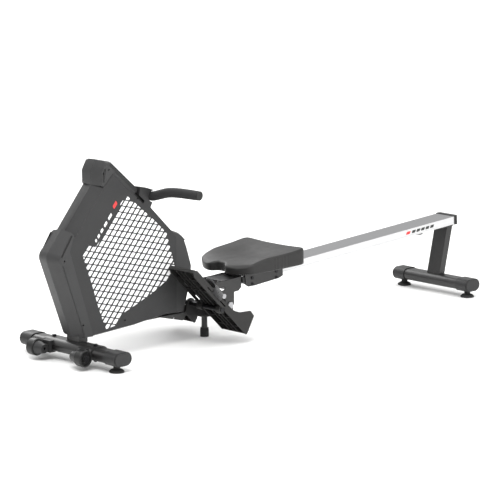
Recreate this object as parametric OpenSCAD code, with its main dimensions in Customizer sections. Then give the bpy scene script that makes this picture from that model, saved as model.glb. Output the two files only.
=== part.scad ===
// Folding rowing machine: a flywheel housing at the front, an inclined aluminium rail with a sliding
// seat, two tilting pedals and a handlebar on a pull strap.
// X runs from the housing to the rear foot, Z is up and the floor is Z = 0.
// Places along X are written from the centre of the front stabilizer, then moved by x_shift.

/* [Stabilizers] */
// Length of the front stabilizer, end to end
front_span = 490; // [460:5:520]
// Length of the rear stabilizer, end to end
rear_span = 374; // [350:2:400]
// Distance from the front stabilizer to the rear one
wheelbase = 1734; // [1700:2:1760]
// Height of the stabilizer tubes' centres
tube_z = 46; // [45:1:48]
// Radius of the transport wheels
wheel_r = 28.5; // [26:0.5:30]

/* [Housing] */
// Half the width of the housing at its side panels
side_y = 52; // [50:1:54]
// Wall of the moulded covers
wall = 3; // [2.5:0.5:3]

/* [Rail] */
// Slope of the rail, rising towards the rear
rail_tilt = 4.23; // [4:0.01:4.4]
// Width of the rail
rail_w = 88; // [84:1:90]
// Height of the rail's section
rail_h = 29.5; // [27:0.5:30]
// Where the rail ends, behind the front stabilizer
rail_end = 1800; // [1790:1:1806]

/* [Seat] */
// Front edge of the seat, measured along the rail
seat_front = 642; // [640:1:646]
// Length of the seat
seat_len = 284; // [270:1:288]
// Half the width of the seat at the back
seat_half = 152; // [140:1:156]

/* [Pedals] */
// Inner face of each pedal
pedal_in = 70; // [66:1:74]
// Width of each pedal
pedal_w = 120; // [110:1:124]
// Slope of the sole plates
pedal_tilt = 44; // [42:1:46]

/* [Handlebar] */
// Radius of the foam grips
grip_r = 16.5; // [15:0.5:17]
// Radius of the steel bar
bar_r = 11; // [10:0.5:12]

/* [Drive] */
// Radius of the flywheel
flywheel_r = 115; // [100:1:116]
// Radius of the strap drum
drum_r = 35; // [32:1:36]

/* [Hidden] */
$fn = 48;

function arc(c, r, a0, a1, n) = [for (i = [0:n]) let (a = a0 + (a1 - a0) * i / n) c + r * [cos(a), sin(a)]];
// Rounds the bends of a path: n points along a parabola at each inner point
function bend(a, b, c, n) = [for (i = [0:n]) let (t = i / n) (1 - t) * (1 - t) * a + 2 * t * (1 - t) * b + t * t * c];
function eased(path, n) = let (m = len(path)) concat([path[0]],
    [for (i = [1:m - 2]) let (a = (path[i - 1] + path[i]) / 2, c = (path[i] + path[i + 1]) / 2)
        for (j = [0:n - (i < m - 2 ? 1 : 0)]) bend(a, path[i], c, n)[j]], [path[m - 1]]);
// Meeting point of the lines p + t u and q + s v
function meet(p, u, q, v) = p + u * ((q - p).x * v.y - (q - p).y * v.x) / (u.x * v.y - u.y * v.x);
function unit(v) = v / norm(v);
function turned(u) = [-u.y, u.x];
// Moves each side i of a counterclockwise outline inwards by d[i]
function inset(pts, d) = let (n = len(pts))
    [for (i = [0:n - 1]) let (h = (i + n - 1) % n, j = (i + 1) % n,
        u = unit(pts[i] - pts[h]), v = unit(pts[j] - pts[i]))
        meet(pts[i] + turned(u) * d[h], u, pts[i] + turned(v) * d[i], v)];

// Housing outlines in the X-Z plane at the middle seam, counterclockwise. After each come the chamfers of
// its sides, as [width in the X-Z plane, depth along Y]. The front is a shallow roof that rises to the seam,
// and a side with no chamfer is a joint between two covers.
joint = [0, 0];
soft = [6, 12];
roof = [11, 50];
vertex_r = 40;
vertex_c = [-74, 356.8];
x_front = vertex_c.x - vertex_r;
shell_line = [[36, 86], [225, 98], [338, 112], [404, 110], [404, 374], [377, 403], [262, 515],
              [136, 625], [90, 581], [77, 581], [-42, 436], [-61, 382]];
shell_edge = [soft, soft, soft, joint, joint, [18, 12], [12, 12], joint, joint, [10, 50], joint, joint];
front_arc = arc(vertex_c, vertex_r, 140.6, 201, 8);
front_line = concat([[-14, 88], [36, 86], [-61, 382], [-42, 436], [-50, 449]], front_arc);
front_edge = concat([[3, 8], joint, joint, [3, 8]], [for (i = [0:9]) roof]);
cap_line = [[77, 581], [90, 581], [136, 625], [112, 646], [122, 658], [96, 662], [75.5, 626]];
cap_edge = [joint, joint, joint, joint, [5, 12], [4.5, 45], [4.5, 45]];
rear_line = [[404, 110], [440, 112], [455, 150], [474, 215], [479, 268], [458, 334], [443, 370],
             [422, 385], [377, 403], [404, 374]];
rear_edge = [[3, 9], soft, [6, 11], soft, [6, 11], soft, [6, 11], soft, joint, joint];

// Half widths of the other covers, and the screws that hold them all: X, Z and the half width of the cover
front_y = side_y + 2;
cap_y = side_y - 1;
rear_y = side_y - 3;
screws = [[110, 632, cap_y], [-84, 354, front_y], [-8, 131, front_y], [174, 122, side_y], [234, 524, side_y],
          [444, 360, rear_y]];
screw_face = -side_y + 5;
screw_seat = screw_face + 2.5;
screw_end = -side_y + 14;

// The sloping top face: a frame with its origin at the face's upper end, x down the slope, z outwards
slope_top = [112, 646];
slope_a = atan2(646 - 515, 262 - 112);

// Rail hinge and the rail's frame, with x along the rail, z square to it and its top face at z = 0
hinge = [652, 105];
lock_r = 50;
lock_a = 132.6;
fold = 58;
rail_base_z = 146.1;
rail_start = 628;
rail_stop_s = 1640;
rail_len = rail_end / cos(rail_tilt) - 2.2;
carriage_s = 723;
carriage_len = 178;
axle_s = [755, 870];
roller_r = 12;
axle_h = roller_r + 0.3;
deck_h = 26;

pedal_axle = [488, 133];
pedal_toe = -195;
pedal_heel = 149;
pedal_back = 2.5;
pedal_top = 27;

cradle_c = [301, 523.5];
grip_path = [[301, -42, 523.5], [301, -52, 523.5], [307, -76, 531], [318, -123, 545], [334, -242, 544]];
drum_c = [245, 400];
wheel_c = [120, 290];
belt_y = 19;
brake_c = [22, 204];
reel_pulley_r = 66;
fly_pulley_r = 22;
idler_c = [238, 507];
idler_r = 14;
strap_t = 1.6;
strap_w = 25;

keel_w = 50;
cheek_in = 38;
cheek_t = 5.3;
bolt_y = 105;
foot_y_front = front_span / 2 - 35;
foot_y_rear = rear_span / 2 - 29;
wheel_x = -68.5;
wheel_y = 122;
wheel_z = 42;
leg_x = 578;
sleeve_len = 58;
x_rear = rail_end;
x_shift = -(x_front + x_rear) / 2;

plastic = [0.13, 0.13, 0.13];
dark_plastic = [0.08, 0.08, 0.085];
steel_paint = [0.2, 0.2, 0.21];
silver = [0.78, 0.79, 0.8];

module placed() translate([x_shift, 0, 0]) children();
// Lays an X-Z outline in place as a slab from y0 to y1
module slab(y0, y1) translate([0, y1, 0]) rotate([90, 0, 0]) linear_extrude(y1 - y0) children();
// A cylinder along Y at an X-Z place
module across(p, r, y0, y1, fn = 48) translate([p.x, y1, p.y]) rotate([90, 0, 0])
    cylinder(r = r, h = y1 - y0, $fn = fn);
module rod(a, b, r) translate(a) rotate([0, acos((b - a).z / norm(b - a)), atan2((b - a).y, (b - a).x)])
    cylinder(r = r, h = norm(b - a));
module both_sides() {
    children();
    mirror([0, 1, 0]) children();
}
module rail_frame() translate([0, 0, rail_base_z]) rotate([0, -rail_tilt, 0]) children();
module slope_frame() translate([slope_top.x, 0, slope_top.y]) rotate([0, slope_a, 0]) children();
module pedal_frame() translate([pedal_axle.x, 0, pedal_axle.y]) rotate([0, pedal_tilt, 0]) children();

// Slab of an X-Z outline on the -Y side, with side i of its outer face chamfered by edge[i]
module chamfered(line, edge, half, y1) {
    n = len(line);
    difference() {
        slab(-half, y1) polygon(line);
        for (i = [0:n - 1]) if (edge[i].x > 0) {
            run = line[(i + 1) % n] - line[i];
            slope = edge[i].x / edge[i].y;
            translate([line[i].x, -half, line[i].y]) rotate([0, -atan2(run.y, run.x), 0])
                translate([-4, 0, 0]) rotate([90, 0, 90]) linear_extrude(norm(run) + 8)
                polygon([[-1, -1], [-1, edge[i].x + slope], [edge[i].y + 1, -slope], [edge[i].y + 1, -1]]);
        }
    }
}
// One half of a moulded cover, on the -Y side: chamfered outside, hollow and open at the middle plane,
// with a boss behind each of its screws
module cover_half(line, edge, half) {
    difference() {
        union() {
            difference() {
                chamfered(line, edge, half, -0.1);
                chamfered(inset(line, [for (e = edge) wall]), edge, half - wall, 5);
            }
            intersection() {
                chamfered(line, edge, half, -0.1);
                union() for (s = screws) if (s.z == half) across(s, 6, -half + wall - 0.5, screw_end, 24);
            }
        }
        for (s = screws) if (s.z == half) {
            across(s, 3.4, -half - 9, screw_seat, 24);
            across(s, 2, screw_seat - 1, screw_end + 1, 24);
        }
    }
}

// Flat-sided oval of the stabilizer tubes
module oval(w, h) {
    square([w - h, h], center = true);
    for (s = [-1, 1]) translate([s * (w - h) / 2, 0]) circle(d = h);
}
module oval_bar(x, y0, y1, w, h) translate([x, y1, tube_z]) rotate([90, 0, 0]) linear_extrude(y1 - y0) oval(w, h);

module stabilizer(x, span, foot_y, bolts) {
    difference() {
        oval_bar(x, -span / 2 + 6, span / 2 - 6, 70, 40);
        oval_bar(x, -span / 2, span / 2, 65, 35);
        both_sides() translate([x, foot_y, 0]) cylinder(r = 5.2, h = tube_z);
        for (b = bolts) translate([x, b, 0]) cylinder(r = 4.2, h = 90);
    }
}
module end_caps(x, span, foot_y) both_sides() difference() {
    union() {
        oval_bar(x, -span / 2 + 4, -span / 2 + sleeve_len, 76, 46);
        oval_bar(x, -span / 2, -span / 2 + 4, 70, 40);
    }
    oval_bar(x, -span / 2 + 5.5, -span / 2 + sleeve_len + 1, 70.4, 40.4);
    translate([x, -foot_y, 0]) cylinder(r = 5.4, h = tube_z);
}
// Levelling foot: rubber pad, collar nut and threaded stem
module level_foot(x, y) color(dark_plastic) translate([x, y, 0]) {
    rotate_extrude() polygon([[0, 0], [25, 0], [25, 4], [20, 9], [11, 13], [11, 20], [5, 20], [5, 38], [0, 38]]);
}

module front_stabilizer() color(steel_paint) placed()
    stabilizer(0, front_span, foot_y_front, [-bolt_y, bolt_y]);
module front_end_caps() color(plastic) placed() end_caps(0, front_span, foot_y_front);
module rear_stabilizer() color(steel_paint) placed()
    stabilizer(wheelbase, rear_span, foot_y_rear, [0]);
module rear_end_caps() color(plastic) placed() end_caps(wheelbase, rear_span, foot_y_rear);

// Saddle bolts with their nuts, and the wheel axle bolts
module frame_bolts() color([0.25, 0.25, 0.26]) placed() {
    for (s = [-1, 1]) translate([0, s * bolt_y, 0]) {
        translate([0, 0, 70.2]) cylinder(r = 7.5, h = 6, $fn = 6);
        translate([0, 0, 17]) cylinder(r = 4, h = 57);
        translate([0, 0, 19]) cylinder(r = 7.5, h = 6.8, $fn = 6);
    }
    both_sides() {
        across([wheel_x, wheel_z], 5, -wheel_y - 17, -wheel_y + 44);
        across([wheel_x, wheel_z], 9, -wheel_y - 20, -wheel_y - 16.3);
    }
}

module wheel(s) color(dark_plastic) placed() difference() {
    translate([wheel_x, s * wheel_y, wheel_z]) rotate([90, 0, 0]) rotate_extrude($fn = 96)
        polygon([[3, -16], [wheel_r - 3, -16], [wheel_r, -13], [wheel_r, 13], [wheel_r - 3, 16], [22, 16],
                 [20, 9], [12, 9], [11, 16], [3, 16]]);
    across([wheel_x, wheel_z], 5.05, s * wheel_y - 20, s * wheel_y + 20);
}
module wheel_left() wheel(-1);
module wheel_right() wheel(1);
// Moulded arms that carry the wheels in front of the tube, on their inboard side
module wheel_brackets() color(plastic) placed() both_sides() difference() {
    union() {
        translate([wheel_x, -wheel_y + 16.5, wheel_z]) rotate([-90, 0, 0]) cylinder(r1 = 23, r2 = 15, h = 34);
        translate([wheel_x, -wheel_y + 16.5, wheel_z - 12]) cube([30, 30, 24]);
        translate([wheel_x + 19, -wheel_y + 16.5, wheel_z - 16]) cube([30, 36, 40]);
    }
    oval_bar(0, -200, 0, 78.4, 48.4);
    across([wheel_x, wheel_z], 5.1, -wheel_y, 0);
}

keel_line = [[0, 96], [430, 102], [560, 75], [600, 75], [600, 103], [562, 104], [434, 137], [0, 134]];
cheek_line = [[60, 104], [230, 104], [175, 200], [200, 290], [300, 400], [306, 430], [262, 496], [238, 528],
              [212, 524], [96, 330]];
module main_frame() color(steel_paint) placed() difference() {
    union() {
        difference() {
            slab(-keel_w / 2, keel_w / 2) polygon(keel_line);
            slab(-keel_w / 2 + 2.5, keel_w / 2 - 2.5)
                polygon(inset(keel_line, [2.5, 2.5, 2.5, -5, 2.5, 2.5, 2.5, -5]));
        }
        // saddle on the front stabilizer, with a post up to the keel
        difference() {
            translate([0, bolt_y + 18, tube_z]) rotate([90, 0, 0]) linear_extrude(2 * bolt_y + 36) oval(78, 48);
            oval_bar(0, -200, 200, 70.4, 40.4);
            translate([-60, -200, 0]) cube([120, 400, tube_z + 6]);
        }
        translate([-8, -30, tube_z + 22]) cube([38, 60, 30]);
        // plates that carry the flywheel, the reel and the strap pulley
        for (y = [-keel_w / 2 - 4, keel_w / 2]) slab(y, y + 4) polygon(cheek_line);
        // lugs that carry the brake's pivot
        both_sides() slab(-22, -18) polygon([[8, 130], [44, 130], [32, 214], [12, 214]]);
        // bracket under the back of the housing
        for (y = [-46, 42]) slab(y, y + 4) polygon([[338, 106], [437, 82], [458, 106], [452, 109], [340, 109]]);
        translate([360, -46, 104]) cube([80, 92, 4]);
        // pedal shaft bracket
        for (y = [-keel_w / 2 - 6, keel_w / 2]) slab(y, y + 6) {
            translate(pedal_axle) circle(r = 18);
            polygon([[462, 95], [514, 88], [506, 133], [470, 133]]);
        }
        // hinge cheeks, each a quadrant with an arc slot for the lock pin
        for (y = [-cheek_in - cheek_t, cheek_in]) slab(y, y + cheek_t) {
            intersection() {
                translate(hinge) circle(r = 58, $fn = 96);
                polygon([[560, 76], [672, 76], [672, 120], [628, 170], [560, 170]]);
            }
            polygon([[566, 76], [606, 76], [606, 103], [566, 103]]);
        }
        translate([566, -cheek_in - 1, 76.5]) cube([28, 2 * cheek_in + 2, 25]);
    }
    for (s = [-1, 1]) translate([0, s * bolt_y, 0]) cylinder(r = 4.2, h = 90);
    across(pedal_axle, 8.05, -60, 60);
    across(hinge, 8.05, -60, 60);
    across(wheel_c, 6.05, -60, 60);
    across(drum_c, 6.05, -60, 60);
    across(idler_c, 4.05, -60, 60);
    across(brake_c, 4.05, -60, 60);
    across([398, 95], 3.2, -60, 60, 24);
    for (y = [-60, 30]) translate([hinge.x, y + 30, hinge.y]) rotate([90, 0, 0]) lock_slot();
}
// Arc slot that the lock pin runs in while the rail folds
module lock_slot() rotate([0, 0, lock_a - 6]) rotate_extrude(angle = fold + 13, $fn = 96)
    translate([lock_r - 4.3, 0]) square([8.6, 30]);

module support_leg() color(steel_paint) placed() translate([leg_x, 0, 0]) difference() {
    union() {
        translate([0, 0, 24]) cylinder(r = 10.5, h = 46.9);
        translate([-20, -20, 70.9]) cube([40, 40, 4]);
    }
    translate([0, 0, 20]) cylinder(r = 8.5, h = 50);
}
module leg_foot() color(dark_plastic) placed() translate([leg_x, 0, 0]) difference() {
    union() {
        cylinder(r = 15, h = 26);
        translate([0, 0, 26]) cylinder(r = 14, h = 5);
    }
    translate([0, 0, 23.9]) cylinder(r = 10.6, h = 20);
}

// Ways through the covers for the frame, the strap and the screws
module housing_ways() {
    translate([-11, -33, 60]) cube([45, 66, 42]);
    translate([-5, -33, 95.5]) cube([525, 66, 44.5]);
    translate([-5, -33, 139]) cube([45, 66, 50]);
    translate([236, -18, 512]) cube([34, 36, 18]);
}
module shell_left() color(plastic) placed() difference() {
    cover_half(shell_line, shell_edge, side_y);
    housing_ways();
}
module shell_right() mirror([0, 1, 0]) shell_left();
// The front cover stands 2 mm proud of the shell, with a grip slot along its upper front edge
module front_cover_left() color(plastic) placed() difference() {
    cover_half(front_line, front_edge, front_y);
    housing_ways();
    hull() for (p = [[-96, 369], [-53, 432]]) across(p, 3.2, -front_y - 8, -front_y + 2.2, 24);
    hull() for (p = [[-91, 338], [-4, 98]]) across(p, 1.3, -front_y - 8, -front_y + 1.6, 16);
}
module front_cover_right() mirror([0, 1, 0]) front_cover_left();
module top_cap_left() color(plastic) placed() difference() {
    cover_half(cap_line, cap_edge, cap_y);
    hull() for (p = [[88, 596], [88, 622], [94, 634]]) across(p, 3.5, -side_y - 8, -cap_y + 2, 24);
}
module top_cap_right() mirror([0, 1, 0]) top_cap_left();
module rear_cover_left() color(plastic) placed() difference() {
    cover_half(rear_line, rear_edge, rear_y);
    housing_ways();
}
module rear_cover_right() mirror([0, 1, 0]) rear_cover_left();
module shell_screws() color([0.04, 0.04, 0.04]) placed() both_sides() for (s = screws) {
    across(s, 3.2, screw_face, screw_seat, 24);
    across(s, 1.95, screw_seat - 0.5, screw_end - 1, 24);
}

module console_body() color(plastic) placed() slope_frame() difference() {
    hull() {
        translate([1, -46, 0.2]) cube([158, 92, 5]);
        translate([3, -43, 0.2]) cube([154, 86, 15.8]);
    }
    translate([26, -34, 12.8]) cube([78, 68, 10]);
    translate([134, 0, 5]) cylinder(r = 9.4, h = 20);
    translate([134, 0, -1]) cylinder(r = 5.2, h = 20);
    translate([10, -38, -1]) cube([110, 76, 10]);
}
module console_lens() color([0.35, 0.4, 0.38]) placed() slope_frame()
    translate([26.2, -33.8, 12.9]) cube([77.6, 67.6, 2.6]);
module mode_button() color([0.3, 0.3, 0.32]) placed() slope_frame() translate([134, 0, 0]) {
    translate([0, 0, 8]) cylinder(r = 9, h = 9.5);
    translate([0, 0, 2.6]) cylinder(r = 5, h = 6);
}

// Two cheeks joined across the face, with a mouth for the strap
cradle_line = [[241, 534], [246, 561], [272, 556], [302, 546], [298, 500], [291, 487.2], [262, 515.5]];
module handle_cradle() color(plastic) placed() difference() {
    union() {
        for (y = [-51, 24]) slab(y, y + 27) polygon(cradle_line);
        slab(-51, 51) polygon([[241, 534.2], [243, 546], [262, 531], [262, 516]]);
    }
    translate([236, -18, 510]) cube([40, 36, 18]);
    across(cradle_c, grip_r + 2, -60, 60, 96);
}

// Ring of points square to a path that runs mostly along Y
function ring(path, k, r, sides) = let (m = len(path),
    t = unit(path[min(k + 1, m - 1)] - path[max(k - 1, 0)]), side = unit(cross(t, [0, 0, 1])), up = cross(side, t))
    [for (i = [0:sides - 1]) let (a = 360 * i / sides) path[k] + r * (cos(a) * side + sin(a) * up)];
function strip(first, second, sides, flip) = [for (i = [0:sides - 1]) let (j = (i + 1) % sides,
    q = [first + i, first + j, second + j, second + i])
    for (t = flip ? [[q[2], q[1], q[0]], [q[3], q[2], q[0]]] : [[q[0], q[1], q[2]], [q[0], q[2], q[3]]]) t];
// Round bar along a path, solid or with a hollow of radius r_in
module bar(path, r, r_in = 0, sides = 20) {
    m = len(path);
    outer = [for (k = [0:m - 1]) for (p = ring(path, k, r, sides)) p];
    skin = [for (k = [0:m - 2]) for (t = strip(k * sides, (k + 1) * sides, sides, false)) t];
    if (r_in == 0) {
        ends = [[for (i = [sides - 1:-1:0]) i], [for (i = [0:sides - 1]) (m - 1) * sides + i]];
        polyhedron(outer, concat(ends, skin), convexity = 6);
    } else {
        hole = m * sides;
        inner = [for (k = [0:m - 1]) for (p = ring(path, k, r_in, sides)) p];
        lining = [for (k = [0:m - 2]) for (t = strip(hole + k * sides, hole + (k + 1) * sides, sides, true)) t];
        ends = concat(strip(0, hole, sides, true), strip((m - 1) * sides, hole + (m - 1) * sides, sides, false));
        polyhedron(concat(outer, inner), concat(skin, lining, ends), convexity = 6);
    }
}
grip_line = eased(grip_path, 4);
bar_half = concat([[cradle_c.x, 0, cradle_c.y]], grip_line);
bar_line = concat([for (i = [len(bar_half) - 1:-1:1]) [bar_half[i].x, -bar_half[i].y, bar_half[i].z]], bar_half);
// Steel bar with the strap clamp at its middle
module handle_bar() color(silver) placed() {
    bar(bar_line, bar_r);
    difference() {
        translate([cradle_c.x - 14, -14, cradle_c.y - 13]) cube([27, 28, 26]);
        across(cradle_c, bar_r + 0.2, -20, 20);
    }
}
module handle_grips() color(dark_plastic) placed() both_sides() bar(grip_line, grip_r, bar_r + 0.4);
module handle_plugs() color(dark_plastic) placed() both_sides() {
    last = grip_path[len(grip_path) - 1];
    dir = unit(last - grip_path[len(grip_path) - 2]);
    rod(last + dir * 0.1, last + dir * 4, grip_r - 1);
}

// Strap from the drum, over the pulley and out to the handlebar
module pull_strap() color([0.06, 0.06, 0.06]) placed() {
    top = idler_c.y + idler_r + 0.3;
    gap = 0.3;
    back = unit(drum_c - idler_c);
    side = turned(back) * -1;
    a = idler_c + side * (idler_r + gap);
    b = drum_c + side * (drum_r + 1.1);
    slab(-strap_w / 2, strap_w / 2) {
        polygon([a, b, b + side * strap_t, a + side * strap_t]);
        polygon(concat(arc(idler_c, idler_r + gap, 90, atan2(side.y, side.x) + 360, 12),
            [for (p = arc(idler_c, idler_r + gap + strap_t, atan2(side.y, side.x) + 360, 90, 12)) p]));
        translate([idler_c.x, top]) square([cradle_c.x - 14.4 - idler_c.x, strap_t]);
    }
}
module strap_pulley() color(dark_plastic) placed() difference() {
    union() {
        across(idler_c, idler_r, -15, 15);
        for (y = [-17, 15]) across(idler_c, idler_r + 4, y, y + 2);
    }
    across(idler_c, 4.05, -20, 20);
}

module flywheel() color([0.45, 0.45, 0.46]) placed() difference() {
    translate([wheel_c.x, 0, wheel_c.y]) rotate([90, 0, 0]) rotate_extrude($fn = 120)
        polygon([[8, -12], [30, -12], [34, -5], [92, -5], [96, -11], [flywheel_r, -11], [flywheel_r, 11],
                 [96, 11], [92, 5], [34, 5], [30, 12], [8, 12]]);
    across(wheel_c, 16, -20, 20);
}
// Bearings and the small belt pulley that carry the flywheel
module flywheel_bearings() color(silver) placed() difference() {
    union() {
        across(wheel_c, 15.98, -12, 12);
        across(wheel_c, fly_pulley_r, 12.5, 24.5);
    }
    across(wheel_c, 6.05, -30, 30);
}
module flywheel_axle() color(silver) placed() {
    across(wheel_c, 6, -34, 34);
    both_sides() across(wheel_c, 10, -35, -29.3, 6);
}
module drive_reel() color([0.2, 0.2, 0.2]) placed() difference() {
    union() {
        across(drum_c, drum_r, -13.5, 12.5);
        for (y = [-15.5, 12.5]) across(drum_c, drum_r + 7, y, y + 2);
        across(drum_c, reel_pulley_r, 14.5, 24.5, 96);
    }
    across(drum_c, 6.05, -30, 30);
}
module reel_axle() color(silver) placed() {
    across(drum_c, 6, -34, 34);
    both_sides() across(drum_c, 10, -35, -29.3, 6);
}
module drive_belt() color([0.06, 0.06, 0.06]) placed() {
    far = norm(drum_c - wheel_c);
    dir = unit(drum_c - wheel_c);
    tilt = atan2(dir.y, dir.x);
    spread = acos((reel_pulley_r - fly_pulley_r) / far);
    big = arc(drum_c, reel_pulley_r + 0.3, tilt + 180 - spread, tilt - 180 + spread, 40);
    small = arc(wheel_c, fly_pulley_r + 0.3, tilt - 180 + spread, tilt - 180 - spread, 16);
    loop = concat(big, small);
    big_out = arc(drum_c, reel_pulley_r + 3, tilt + 180 - spread, tilt - 180 + spread, 40);
    small_out = arc(wheel_c, fly_pulley_r + 3, tilt - 180 + spread, tilt - 180 - spread, 16);
    slab(belt_y - 4, belt_y + 4) difference() {
        polygon(concat(big_out, small_out));
        polygon(loop);
    }
}
module recoil_spring() color(silver) placed() difference() {
    across(drum_c, 30, -24.5, -16.2);
    across(drum_c, 6.5, -30, 0);
}
// Magnet carrier round the front of the flywheel, with its pivot pin
module brake_bracket() color(steel_paint) placed() {
    across(brake_c, 4, -23, 23);
    slab(-14, 14) {
        difference() {
            translate(wheel_c) circle(r = flywheel_r + 12, $fn = 96);
            translate(wheel_c) circle(r = flywheel_r + 1.5, $fn = 96);
            translate([-10, 0]) polygon([[40, 0], [400, 0], [400, 600], [-200, 600], [-200, 352], [40, 352]]);
            polygon([[-200, 0], [400, 0], [400, 209], [-200, 209]]);
        }
        translate(brake_c) circle(r = 9);
    }
}
// Gear motor that moves the brake, with its cable drum
module brake_motor() color([0.15, 0.15, 0.16]) placed() {
    translate([66, -18, 135.1]) cube([46, 36, 24]);
    across([78, 149], 7, -24, -18);
}

// Pedals: a sole tray with a ribbed hollow back, a strap slot in each side wall and a heel cup
pedal_side = concat([[pedal_toe, pedal_back + 8], [pedal_toe + 14, pedal_back], [pedal_heel - 3, pedal_back],
    [pedal_heel, pedal_back + 4], [pedal_heel - 17, 71]], arc([110, 66], 8, 60, 130, 4),
    [[66, 36], [34, pedal_top], [pedal_toe + 10, pedal_top], [pedal_toe, pedal_top - 6]]);
module pedal_slab(y0, y1) translate([0, y1, 0]) rotate([90, 0, 0]) linear_extrude(y1 - y0) children();
module pedal_body() placed() pedal_frame() difference() {
    union() {
        // side walls, outline seen from the side
        for (y = [-pedal_in - 4, -pedal_in - pedal_w]) pedal_slab(y, y + 4) polygon(pedal_side);
        // sole plate, toe wall, heel walls
        translate([pedal_toe, -pedal_in - pedal_w, 18.5]) cube([pedal_heel - pedal_toe - 2, pedal_w, 4]);
        translate([pedal_toe, -pedal_in - pedal_w, pedal_back + 8]) cube([4, pedal_w, 10]);
        pedal_slab(-pedal_in - pedal_w, -pedal_in) polygon([[pedal_heel - 4, pedal_back + 1], [pedal_heel, pedal_back + 4],
            [pedal_heel - 17, 71], [pedal_heel - 21, 71], [pedal_heel - 9, 22]]);
        // ribs in the hollow back
        for (y = [-pedal_in - 40, -pedal_in - pedal_w / 2, -pedal_in - 80])
            translate([pedal_toe + 2, y - 1.5, pedal_back + 2]) cube([pedal_heel - pedal_toe - 8, 3, 17]);
        for (x = [-150, -90, 60, 110]) translate([x, -pedal_in - pedal_w + 2, pedal_back + 5]) cube([3, pedal_w - 4, 14]);
        // bosses on the shaft
        for (y = [-pedal_in - 24, -pedal_in - pedal_w + 4]) pedal_slab(y, y + 20) {
            circle(r = 14);
            translate([-14, 0]) square([28, 19]);
        }
    }
    pedal_slab(-pedal_in - pedal_w - 9, -pedal_in + 9) circle(r = 8.05);
    // strap slot through both side walls, above the sole
    translate([-110, -pedal_in - pedal_w - 1, 12.5]) cube([112, pedal_w + 2, 4.5]);
}
module pedal_left() color(plastic) pedal_body();
module pedal_right() mirror([0, 1, 0]) pedal_left();
// Strap over the sole, its ends turned in through the slots
module pedal_strap_left() color([0.05, 0.05, 0.05]) placed() pedal_frame() {
    mid = -pedal_in - pedal_w / 2;
    half = pedal_w / 2;
    outer = [for (i = [0:20]) let (a = 180 * i / 20) [mid + (half + 3) * cos(a), 24 + 36 * sin(a)]];
    inner = [for (i = [20:-1:0]) let (a = 180 * i / 20) [mid + (half + 0.6) * cos(a), 24 + 33.6 * sin(a)]];
    translate([-80, 0, 0]) rotate([90, 0, 90]) linear_extrude(48) {
        polygon(concat(outer, inner));
        for (s = [-1, 1]) translate([mid + s * (half + 1.8) - 1.2, 12.6]) square([2.4, 11.6]);
    }
}
module pedal_strap_right() mirror([0, 1, 0]) pedal_strap_left();
module pedal_shaft() color(silver) placed() {
    across(pedal_axle, 8, -pedal_in - pedal_w + 1, pedal_in + pedal_w - 1);
    both_sides() across(pedal_axle, 12, -pedal_in + 0.5, -pedal_in + 4);
}

// Rail hinge
bracket_line = [[588, 193], [588, 150], [598, 134], [630, 132], [636, 104], [644, 90], [660, 90], [673, 106],
                [673, 148], [694, 150], [706, 160], [706, 198.5], [650, 194.5]];
module hinge_bracket() color(steel_paint) placed() difference() {
    both_sides() slab(-rail_w / 2 - 4.1, -rail_w / 2 - 0.1) difference() {
        polygon(bracket_line);
        translate([596, 160]) square([34, 10]);
    }
    across(hinge, 8.05, -60, 60);
    across(hinge + lock_r * [cos(lock_a), sin(lock_a)], 4.05, -60, 0);
}
module hinge_pin() color(silver) placed() {
    across(hinge, 8, -52, 52);
    across(hinge, 13, -54.5, -48.4, 6);
    across(hinge, 13, 48.4, 54.5, 6);
}
module lock_pin() color(silver) placed() {
    p = hinge + lock_r * [cos(lock_a), sin(lock_a)];
    across(p, 4, -54, -cheek_in + 2);
    across(p, 9, -57.5, -48.4);
}

module rail_section() difference() {
    square([rail_w, rail_h], center = true);
    for (x = [-1, 0, 1]) translate([x * rail_w / 3.1, 0]) square([rail_w / 3.1 - 3, rail_h - 5], center = true);
    for (s = [-1, 1]) translate([s * rail_w / 2, -rail_h / 2 + 5]) square([1.6, 1.6], center = true);
}
module rail() color(silver) placed() rail_frame()
    translate([rail_start, 0, -rail_h / 2]) rotate([90, 0, 90])
    linear_extrude(rail_len - rail_start - 3) rail_section();
module rail_end_cap() color(dark_plastic) placed() difference() {
    rail_frame() difference() {
        translate([rail_len - 16, -rail_w / 2 - 2, -rail_h - 2]) cube([20, rail_w + 4, rail_h + 4]);
        translate([rail_len - 18, -rail_w / 2 - 0.1, -rail_h - 0.1]) cube([15.2, rail_w + 0.2, rail_h + 0.2]);
        for (s = [-1, 1]) translate([rail_len + 4, s * (rail_w / 2 + 2), -60]) rotate([0, 0, 45])
            cube([9, 9, 200], center = true);
    }
    translate([rail_end, -100, 0]) cube([40, 200, 400]);
}
// Front bumpers on the rail's sides, and the rear stop under it
module rail_stops() color(dark_plastic) placed() rail_frame() {
    both_sides() translate([709, -rail_w / 2 - 8, -24]) cube([11, 7.9, 20]);
    translate([rail_stop_s, 0, -rail_h - 14]) cylinder(r = 16, h = 13.9);
}
module rear_post() color(steel_paint) placed() {
    post = [[wheelbase - 14, tube_z + 20.2], [wheelbase + 14, tube_z + 20.2], [wheelbase + 54, 241.5],
            [wheelbase + 26, 241.5]];
    difference() {
        slab(-31, 31) polygon(post);
        slab(-28, 28) polygon(inset(post, [-2, 3, -2, 3]));
    }
    rail_frame() translate([wheelbase - 10, -40, -rail_h - 5.2]) cube([62, 80, 5]);
}

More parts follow.
